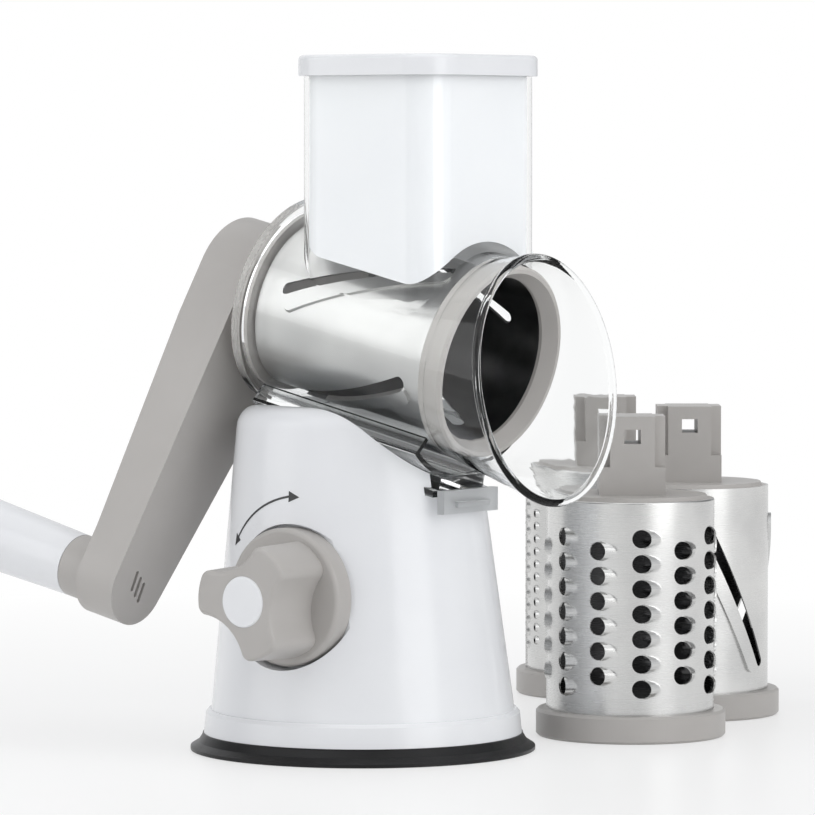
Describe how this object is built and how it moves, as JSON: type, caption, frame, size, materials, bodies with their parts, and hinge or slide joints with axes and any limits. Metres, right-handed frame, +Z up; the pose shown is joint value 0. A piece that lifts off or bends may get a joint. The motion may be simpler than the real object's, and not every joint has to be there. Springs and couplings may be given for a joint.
{
  "type": "hand crank drum shredder",
  "caption": "Hand-cranked drum shredder: clear feed housing over a slicing drum, white suction base with a lock knob, hollow pusher, and spare grating drums.",
  "frame": {"origin": "centre of the flat underside of the suction foot", "axes": "+Z up, +X towards the mouth, -Y towards the lock knob, crank at the back on -X"},
  "size_m": [0.2918, 0.366, 0.2883],
  "materials": {
    "black_rubber": "matt black rubber",
    "white_plastic": "gloss white ABS",
    "grey_plastic": "satin warm grey plastic",
    "clear_plastic": "clear polished plastic",
    "black_plastic": "satin black plastic",
    "steel": "plain steel",
    "brushed_steel": "brushed stainless sheet"
  },
  "bodies": {
    "base": {"suction_foot": "black_rubber", "base_plate": "white_plastic", "base_screws": "steel", "base_skirt": "white_plastic", "base_body": "white_plastic", "cam_bracket": "grey_plastic"},
    "lock": {"cam_shaft": "steel", "shaft_clip": "steel", "lock_knob": "grey_plastic", "knob_screw": "steel", "knob_cap": "white_plastic"},
    "lift": {"lift_stem": "grey_plastic"},
    "housing": {"feed_housing": "clear_plastic"},
    "housing_tab": {"housing_latch": "clear_plastic"},
    "pusher": {"pusher": "white_plastic"},
    "rotor": {"drum_shell": "brushed_steel", "drum_collar": "grey_plastic", "drum_end_plate": "grey_plastic", "crank_arm": "grey_plastic", "crank_cover": "grey_plastic", "button_spring": "steel", "grip_spindle": "steel"},
    "button": {"release_button": "black_plastic"},
    "catch": {"latch_pawl": "black_plastic"},
    "grip": {"grip": "white_plastic", "grip_plug": "white_plastic"},
    "coarse_drum": {"spare_coarse_shell": "brushed_steel", "spare_coarse_collar": "grey_plastic", "spare_coarse_end_plate": "grey_plastic"},
    "fine_drum": {"spare_fine_shell": "brushed_steel", "spare_fine_collar": "grey_plastic", "spare_fine_end_plate": "grey_plastic"},
    "slicer_drum": {"spare_slicer_shell": "brushed_steel", "spare_slicer_collar": "grey_plastic", "spare_slicer_end_plate": "grey_plastic"}
  },
  "joints": [
    {"name": "lock_turn", "type": "hinge", "parent": "base", "child": "lock", "pos_m": [0.0039, -0.04903, 0.0672], "axis": [0, 1, 0], "range_deg": [0, 90]},
    {"name": "diaphragm_lift", "type": "slide", "parent": "base", "child": "lift", "axis": [0, 0, 1], "range_m": [0, 0.003], "deforming": ["suction_foot"]},
    {"name": "housing_slide", "type": "slide", "parent": "base", "child": "housing", "axis": [0.9744, 0, -0.225], "range_m": [0, 0.0022]},
    {"name": "tab_press", "type": "slide", "parent": "housing", "child": "housing_tab", "axis": [-1, 0, 0], "range_m": [0, 0.0012], "stiffness_N_per_m": 800, "springref_m": -0.0005},
    {"name": "pusher_lift", "type": "slide", "parent": "housing", "child": "pusher", "axis": [0, 0, 1], "range_m": [0, 0.095]},
    {"name": "drum_spin", "type": "hinge", "parent": "housing", "child": "rotor", "pos_m": [0, 0, 0.179], "axis": [0.9744, 0, -0.225], "continuous": true},
    {"name": "button_press", "type": "slide", "parent": "rotor", "child": "button", "axis": [0.9744, 0, -0.225], "range_m": [0, 0.004], "stiffness_N_per_m": 600, "springref_m": -0.002},
    {"name": "catch_lift", "type": "slide", "parent": "rotor", "child": "catch", "axis": [0.2022, 0.4384, 0.8758], "range_m": [0, 0.0034]},
    {"name": "grip_spin", "type": "hinge", "parent": "rotor", "child": "grip", "pos_m": [-0.10391, -0.06071, 0.07523], "axis": [0.9744, 0, -0.225], "continuous": true},
    {"name": "coarse_drum_lift", "type": "slide", "parent": "base", "child": "coarse_drum", "axis": [0, 0, 1], "range_m": [0, 0.12]},
    {"name": "fine_drum_lift", "type": "slide", "parent": "base", "child": "fine_drum", "axis": [0, 0, 1], "range_m": [0, 0.12]},
    {"name": "slicer_drum_lift", "type": "slide", "parent": "base", "child": "slicer_drum", "axis": [0, 0, 1], "range_m": [0, 0.12]}
  ],
  "couplings": [
    {"joint": "diaphragm_lift", "follows": "lock_turn", "m_per_rad": 0.0019099},
    {"joint": "catch_lift", "follows": "button_press", "ratio": 0.85}
  ]
}
